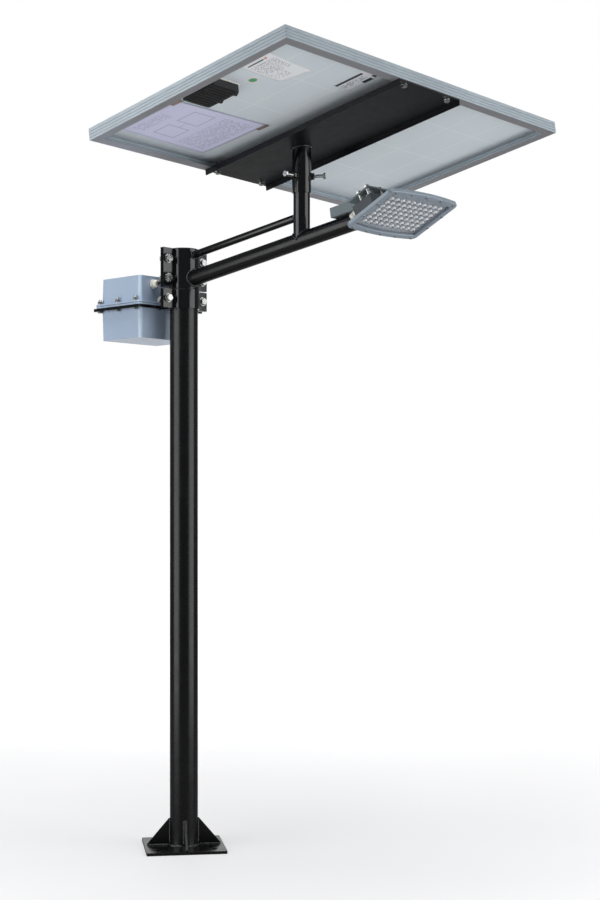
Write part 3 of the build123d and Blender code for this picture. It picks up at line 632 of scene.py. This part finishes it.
parts = []
lo = lamp_outline(11.6, 4.0)
li = lamp_outline(12.4, 3.4)
n_o = len(lo)
vs = [at(LAMP, p, q, 5.0) for p, q in li] + [at(LAMP, p, q, 5.8) for p, q in lo] + [at(LAMP, p, q, 8.0) for p, q in lo]
fs = [tuple(range(n_o - 1, -1, -1))]
for r_ in range(2):
    for i in range(n_o):
        j = (i + 1) % n_o
        fs.append((r_ * n_o + i, r_ * n_o + j, (r_ + 1) * n_o + j, (r_ + 1) * n_o + i))
fs.append(tuple(range(2 * n_o, 3 * n_o)))
parts.append((vs, fs))
prof = [(6.2, 5.02), (5.8, 4.4), (5.3, 3.3), (4.6, 2.2), (3.9, 1.4), (3.1, 0.85), (2.4, 0.68), (1.3, 0.95), (0.0, 1.1)]
seg = 20
for i in range(7):
    for j in range(10):
        a_, y_ = (i - 3) * 15.6, (j - 4.5) * 20.0
        vs, fs = [], []
        for (r_, n_) in prof[:-1]:
            for q in range(seg):
                th = 2 * pi * q / seg
                # each optic is a little longer across the road than along it
                vs.append(at(LAMP, a_ + r_ * cos(th) * 0.97, y_ + r_ * sin(th) * 1.12, n_))
        vs.append(at(LAMP, a_, y_, prof[-1][1]))
        for t in range(len(prof) - 2):
            for q in range(seg):
                q2 = (q + 1) % seg
                fs.append((t * seg + q2, t * seg + q, (t + 1) * seg + q, (t + 1) * seg + q2))
        last = (len(prof) - 2) * seg
        for q in range(seg):
            fs.append((last + (q + 1) % seg, last + q, last + seg))
        parts.append((vs, fs))
lens = mesh_piece("lens_plate_moulded", *join(parts), M["lens_clear"], "lamp", "lens_clear")
lens.data.polygons[0].use_smooth = False
# painted highlight: the clear optics are painted near-white and nearly opaque to stand for their bright highlights
k = Mat("lens_optic_body")
loc = k.local(LAMP)
k.set(base=k.mix(k.remap(k.noise(70.0, 3.0, vec=loc), 0.3, 0.7, 0, 1), srgb(226, 231, 237), srgb(240, 243, 246)),
      rough=k.remap(k.noise(120.0, 3.0, vec=loc), 0.3, 0.7, 0.10, 0.18), alpha=0.82, ior=1.49, coat=0.8)
lens.data.materials.append(k.m)
# painted image of the diode seen through the lens: a dark brownish spot on each optic's apex
k = Mat("lens_optic_painted_diode_image")
loc = k.local(LAMP)
k.set(base=k.mix(k.remap(k.noise(200.0, 3.0, vec=loc), 0.3, 0.7, 0, 1), srgb(84, 80, 66), srgb(112, 104, 78)),
      rough=k.remap(k.noise(150.0, 3.0, vec=loc), 0.3, 0.7, 0.06, 0.12), alpha=0.85, ior=1.49, coat=1.0)
lens.data.materials.append(k.m)
first, per_dome = 2 + 2 * n_o, (len(prof) - 1) * seg
for i, f in enumerate(lens.data.polygons):
    if i >= first:
        ring_no = ((i - first) % per_dome) // seg
        # apex rings take the painted diode image, the rest the painted highlight
        f.material_index = 2 if ring_no >= len(prof) - 4 else 1
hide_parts("lens_plate")


# ------------------------------------------------------------------ labels and papers under the panel
def dash_rows(k, u, v, rows, cols, density, seed, lo, hi, ulo, uhi, height=0.42):
    """rows of short printed dashes that say nothing"""
    cell = k.new("ShaderNodeCombineXYZ")
    k.put(cell.inputs[0], k.math("FLOOR", k.math("MULTIPLY", u, cols)))
    k.put(cell.inputs[1], k.math("FLOOR", k.math("MULTIPLY", v, rows)))
    cell.inputs[2].default_value = seed
    wn = k.new("ShaderNodeTexWhiteNoise")
    wn.noise_dimensions = "3D"
    k.link(cell.outputs[0], wn.inputs["Vector"])
    on = k.math("LESS_THAN", wn.outputs["Value"], density)
    r_ = k.band(k.math("FRACT", k.math("MULTIPLY", v, rows)), 0.5 - height / 2, 0.5 + height / 2)
    m_ = k.math("MULTIPLY", on, r_)
    m_ = k.math("MULTIPLY", m_, k.band(v, lo, hi))
    return k.math("MULTIPLY", m_, k.band(u, ulo, uhi))


def rect(k, u, v, u0, u1, v0, v1):
    return k.math("MULTIPLY", k.band(u, u0, u1), k.band(v, v0, v1))


def paper_mat(name, col, ink, build, rough=0.6):
    k = Mat(name)
    uv = k.tc.outputs["UV"]
    u, v, _ = k.axes(uv)
    fib = k.noise(240.0, 5.0, 0.7, vec=k.obj)
    base = k.mix(k.remap(fib, 0.3, 0.7, 0.0, 1.0), tuple(c * 0.95 for c in col), tuple(min(1, c * 1.03) for c in col))
    base = build(k, u, v, base, ink)
    crease = k.noise(18.0, 3.0, 0.5, vec=k.obj)
    k.set(base=base, rough=k.remap(fib, 0.3, 0.7, rough * 0.9, rough * 1.1), normal=k.bump(crease, 0.25, 0.001, k.bump(fib, 0.12, 0.0002)))
    return k.m


def b_rating(k, u, v, base, ink):
    base = k.mix(dash_rows(k, u, v, 26, 58, 0.55, 1.0, 0.20, 0.60, 0.08, 0.90, 0.34), base, ink)
    base = k.mix(dash_rows(k, u, v, 26, 58, 0.35, 2.0, 0.62, 0.88, 0.08, 0.60, 0.34), base, ink)
    base = k.mix(dash_rows(k, u, v, 13, 26, 0.8, 6.0, 0.078, 0.152, 0.10, 0.66, 0.5), base, srgb(82, 84, 90))
    base = k.mix(rect(k, u, v, 0.70, 0.78, 0.085, 0.135), base, srgb(228, 132, 66))
    return base


def b_serial(k, u, v, base, ink):
    base = k.mix(rect(k, u, v, 0.02, 0.72, 0.07, 0.24), base, ink)
    base = k.mix(rect(k, u, v, 0.44, 0.68, 0.76, 0.98), base, ink)
    base = k.mix(rect(k, u, v, 0.74, 0.97, 0.66, 0.92), base, ink)
    base = k.mix(dash_rows(k, u, v, 9, 36, 0.62, 3.0, 0.33, 0.67, 0.06, 0.66), base, srgb(110, 114, 120))
    base = k.mix(rect(k, u, v, 0.80, 0.88, 0.16, 0.34), base, srgb(228, 132, 66))
    return base


def b_sheet(k, u, v, base, ink):
    base = k.mix(dash_rows(k, u, v, 46, 60, 0.66, 4.0, 0.60, 0.94, 0.09, 0.90, 0.36), base, srgb(160, 162, 184))
    base = k.mix(dash_rows(k, u, v, 46, 60, 0.60, 5.0, 0.06, 0.20, 0.09, 0.62, 0.36), base, srgb(160, 162, 184))
    for (u0, u1, v0, v1) in ((0.14, 0.42, 0.28, 0.52), (0.55, 0.86, 0.28, 0.52)):
        outer = rect(k, u, v, u0, u1, v0, v1)
        inner = rect(k, u, v, u0 + 0.012, u1 - 0.012, v0 + 0.009, v1 - 0.009)
        base = k.mix(k.math("SUBTRACT", outer, inner), base, srgb(160, 162, 184))
    base = k.mix(rect(k, u, v, 0.42, 0.55, 0.397, 0.403), base, srgb(160, 162, 184))
    return base


def card(name, corners, lift, thick, material, nu=14, nv=20, wave=0.5, slot="backsheet_white", seed=1, w0=23.5, round_=0.0):
    """a thin sheet stuck to the underside: corners in panel axes (mm), gently cockled, edges lifted a little"""
    rng = random.Random(seed)
    ph = [rng.uniform(0, 6.28) for _ in range(4)]
    c = corners
    vs, uvs, fs = [], [], []
    for side in (0, 1):
        for j in range(nv + 1):
            for i in range(nu + 1):
                p, q = i / nu, j / nv
                uu = (c[0][0] * (1 - p) + c[1][0] * p) * (1 - q) + (c[3][0] * (1 - p) + c[2][0] * p) * q
                vv = (c[0][1] * (1 - p) + c[1][1] * p) * (1 - q) + (c[3][1] * (1 - p) + c[2][1] * p) * q
                edge = max(abs(2 * p - 1), abs(2 * q - 1))
                h = 0.12 + wave * (0.5 + 0.25 * sin(5 * p + ph[0]) * sin(6 * q + ph[1]) + 0.25 * sin(9 * q + 3 * p + ph[2])) * (1 - 0.4 * edge)
                h += lift * max(0.0, edge - 0.86) / 0.14 * (0.4 + 0.6 * abs(sin(3.1 * p + 2.3 * q + ph[3])))
                w_ = w0 - h - (0 if side else thick)
                vs.append(at(PANEL, uu, vv, w_))
                uvs.append((p, q))
    n_row = nu + 1
    lay = n_row * (nv + 1)
    for j in range(nv):
        for i in range(nu):
            a_ = j * n_row + i
            fs.append((a_, a_ + n_row, a_ + n_row + 1, a_ + 1))
            fs.append((lay + a_, lay + a_ + 1, lay + a_ + n_row + 1, lay + a_ + n_row))
    rim_ = [i for i in range(nu)] + [j * n_row + nu for j in range(nv)] + [nv * n_row + i for i in range(nu, 0, -1)] + [j * n_row for j in range(nv, 0, -1)]
    for a_, b_ in zip(rim_, rim_[1:] + rim_[:1]):
        fs.append((a_, b_, lay + b_, lay + a_))
    return mesh_piece(name, vs, fs, material, "panel", slot, uvs=uvs)


rating = paper_mat("rating_label_print", srgb(238, 240, 242), srgb(112, 114, 120), b_rating, 0.42)
serial = paper_mat("serial_label_print", srgb(228, 231, 234), srgb(62, 64, 68), b_serial, 0.42)
sheet_m = paper_mat("lavender_paper", srgb(210, 211, 236), srgb(130, 132, 150), b_sheet, 0.72)
card("rating_label", [(132, -442), (225, -446), (212, -288), (127, -308)], 0.25, 0.12, rating, wave=0.15, seed=2)
card("serial_label", [(180, -184), (300, -184), (300, -128), (180, -128)], 0.15, 0.12, serial, wave=0.12, seed=3)
card("taped_sheet", [(-279, -445), (-81, -441), (-73, -155), (-292, -165)], 1.6, 0.15, sheet_m, nu=26, nv=34, wave=1.5, seed=4)

k = Mat("brown_tape")
loc = k.local(PANEL)
fib = k.noise(300.0, 4.0, 0.6, vec=loc, stretch=(0.15, 1, 1))
k.set(base=k.mix(k.remap(fib, 0.3, 0.7, 0.0, 1.0), srgb(142, 124, 116), srgb(160, 142, 132)), rough=k.remap(fib, 0.3, 0.7, 0.25, 0.4),
      normal=k.bump(fib, 0.2, 0.0003), coat=0.3)
tape_m = k.m
card("tape_strip_low", [(-106, -446), (-72, -443), (-74, -428), (-108, -431)], 0.2, 0.08, tape_m, nu=10, nv=6, wave=0.2, seed=5, w0=21.6)
card("tape_strip_high", [(-104, -160), (-70, -157), (-71, -144), (-105, -147)], 0.2, 0.08, tape_m, nu=10, nv=6, wave=0.2, seed=6, w0=21.6)

# round check sticker: a disc with a raised pale rim
k = Mat("round_sticker_print")
loc = k.local(PANEL)
u, v, w = k.axes(loc)
rr = k.math("SQRT", k.math("ADD", k.math("POWER", k.math("SUBTRACT", u, 0.099), 2.0), k.math("POWER", k.math("ADD", v, 0.369), 2.0)))
ring_m = k.remap(rr, 0.0100, 0.0104, 0.0, 1.0)
fib = k.noise(400.0, 3.0, vec=loc)
base = k.mix(k.remap(fib, 0.3, 0.7, 0.0, 1.0), srgb(74, 158, 96), srgb(92, 176, 112))
base = k.mix(ring_m, base, srgb(236, 214, 218))
k.set(base=base, rough=k.remap(fib, 0.3, 0.7, 0.36, 0.5), normal=k.bump(fib, 0.1, 0.0002))
vs, fs = [], []
prof = [(0.001, 23.2), (9.8, 23.2), (10.2, 23.12), (13.2, 23.14), (13.5, 23.3), (13.5, 23.45)]
for (r_, w_) in prof:
    for q in range(48):
        th = 2 * pi * q / 48
        vs.append(at(PANEL, 99 + r_ * cos(th), -369 + r_ * sin(th), w_))
for t in range(len(prof) - 1):
    for q in range(48):
        q2 = (q + 1) % 48
        fs.append((t * 48 + q2, t * 48 + q, (t + 1) * 48 + q, (t + 1) * 48 + q2))
mesh_piece("round_sticker", vs, fs, k.m, "panel", "backsheet_white")


k = Mat("white_sealant")
k.set(base=k.mix(k.remap(k.noise(120.0, 4.0), 0.3, 0.7, 0.0, 1.0), srgb(222, 222, 216), srgb(240, 240, 236)), rough=k.remap(k.noise(200.0), 0.3, 0.7, 0.4, 0.55),
      normal=k.bump(k.noise(260.0, 3.0), 0.5, 0.0008))
loop = []
for cx_, cy_, t0 in ((60.0, 37.0, 0), (-34.0, 37.0, 90), (-34.0, -37.0, 180), (60.0, -37.0, 270)):
    for i in range(8):
        t = radians(t0 + 90 * i / 7)
        loop.append(at(PANEL, 0 + cx_ + 7.2 * cos(t), -424 + cy_ + 7.2 * sin(t), 22.0))
vs, fs = bead_geo(loop, 1.8 * MM, True, random.Random(5))
mesh_piece("jbox_sealant", vs, fs, k.m, "panel", "board_white")


def turned(name, m, centre, prof, material, body, slot, seg=32, axis="x"):
    """a turned piece: profile (radius, length) along an axis of matrix m"""
    vs, fs = [], []
    for (r_, l_) in prof:
        for q in range(seg):
            th = 2 * pi * q / seg
            c_ = (centre[0] + l_, centre[1] + r_ * cos(th), centre[2] + r_ * sin(th)) if axis == "x" else (centre[0] + r_ * cos(th), centre[1] + r_ * sin(th), centre[2] + l_)
            vs.append(at(m, *c_))
    for t in range(len(prof) - 1):
        for q in range(seg):
            q2 = (q + 1) % seg
            fs.append((t * seg + q, t * seg + q2, (t + 1) * seg + q2, (t + 1) * seg + q))
    fs.append(tuple(range(seg - 1, -1, -1)))
    fs.append(tuple((len(prof) - 1) * seg + q for q in range(seg)))
    return mesh_piece(name, vs, fs, material, body, slot)


k = Mat("red_seal")
k.set(base=k.mix(k.noise(300.0, 3.0), srgb(176, 38, 34), srgb(196, 52, 44)), rough=k.remap(k.noise(500.0), 0.3, 0.7, 0.45, 0.6),
      normal=k.bump(k.noise(900.0), 0.2, 0.0002))
turned("lamp_gland_plug", LAMP, (-89.0, -76.0, 42.5), [(3.1, 4.0), (3.1, 0.3), (2.9, -0.6), (1.6, -1.2), (0.4, -1.3)][::-1], k.m, "lamp", "seal_rubber")

# ------------------------------------------------------------------ floor, light, camera
fm = Mat("studio_floor")
ox, oy, oz = fm.axes(fm.obj)
dist = fm.math("SQRT", fm.math("ADD", fm.math("MULTIPLY", ox, ox), fm.math("MULTIPLY", oy, oy)))
flp = fm.new("ShaderNodeLightPath")
f_base = fm.mix(fm.remap(fm.noise(1.5, 3.0), 0.3, 0.7, 0.0, 1.0), (0.60, 0.60, 0.61), (0.63, 0.63, 0.64))
f_base = fm.mix(fm.math("MULTIPLY", flp.outputs["Is Glossy Ray"], 0.75), f_base, (0.04, 0.04, 0.04))
fm.set(base=f_base, rough=0.6, spec=0.1)
fm.put(fm.p.inputs["Emission Color"], (1.0, 1.0, 1.0, 1.0))
seen = fm.remap(dist, 0.3, 5.0, 0.40, 0.97, True)
fm.put(fm.p.inputs["Emission Strength"], fm.math("ADD", fm.math("MULTIPLY", flp.outputs["Is Camera Ray"], seen), fm.math("MULTIPLY", fm.math("SUBTRACT", 1.0, fm.math("MAXIMUM", flp.outputs["Is Camera Ray"], fm.math("MULTIPLY", flp.outputs["Is Glossy Ray"], 0.8))), 0.16)))
R_F, n_f = 40.0, 128
me = bpy.data.meshes.new("floor")
me.from_pydata([(R_F * cos(2 * pi * i / n_f), R_F * sin(2 * pi * i / n_f), 0.0) for i in range(n_f)], [], [tuple(range(n_f))])
me.materials.append(fm.m)
floor_o = bpy.data.objects.new("floor", me)
scene.collection.objects.link(floor_o)

world = bpy.data.worlds.new("studio")
scene.world = world
world.use_nodes = True
wn = world.node_tree
wn.nodes.clear()
out = wn.nodes.new("ShaderNodeOutputWorld")
mixs = wn.nodes.new("ShaderNodeMixShader")
lp = wn.nodes.new("ShaderNodeLightPath")
amb = wn.nodes.new("ShaderNodeBackground")
amb.inputs["Color"].default_value = (0.93, 0.96, 1.0, 1)
amb.inputs["Strength"].default_value = 0.13
cam_bg = wn.nodes.new("ShaderNodeBackground")
cam_bg.inputs["Color"].default_value = (1, 1, 1, 1)
cam_bg.inputs["Strength"].default_value = 1.0
wn.links.new(lp.outputs["Is Camera Ray"], mixs.inputs[0])
wn.links.new(amb.outputs[0], mixs.inputs[1])
wn.links.new(cam_bg.outputs[0], mixs.inputs[2])
wn.links.new(mixs.outputs[0], out.inputs[0])


def area(name, loc, target, sx, sy, power, col=(1, 1, 1)):
    d = bpy.data.lights.new(name, "AREA")
    d.shape = "RECTANGLE"
    d.size, d.size_y, d.energy, d.color = sx, sy, power, col
    o = bpy.data.objects.new(name, d)
    scene.collection.objects.link(o)
    o.location = loc
    o.rotation_euler = (Vector(target) - Vector(loc)).to_track_quat("-Z", "Y").to_euler()
    o.visible_camera = False
    return o


CAM = Vector((3.3155, -3.0801, 0.9295))
view_az = atan2(CAM.y, CAM.x)
for nm, da, dist_, h, sx, sy, pw in (("left_box", -66, 2.8, 1.30, 2.3, 2.6, 40), ("right_box", 66, 2.8, 1.30, 2.3, 2.6, 40),
                                     ("rear_box", 178, 3.2, 1.6, 2.4, 2.4, 14)):
    a_ = view_az + radians(da)
    area(nm, (0.1 + dist_ * cos(a_), dist_ * sin(a_), h), (0.1, 0, h - 0.05), sx, sy, pw)
area("top_box", (0.6, -0.3, 4.3), (0.4, 0, 1.0), 3.0, 3.0, 120)

cam_d = bpy.data.cameras.new("camera")
cam = bpy.data.objects.new("camera", cam_d)
scene.collection.objects.link(cam)
cam.location = CAM
cam.rotation_euler = (radians(90), 0, radians(43.11))
cam_d.sensor_width = 36.0
cam_d.lens = 66.44
cam_d.shift_y = 0.0611
cam_d.clip_end = 100
scene.camera = cam
scene.view_settings.view_transform = "Standard"
scene.view_settings.look = "None"
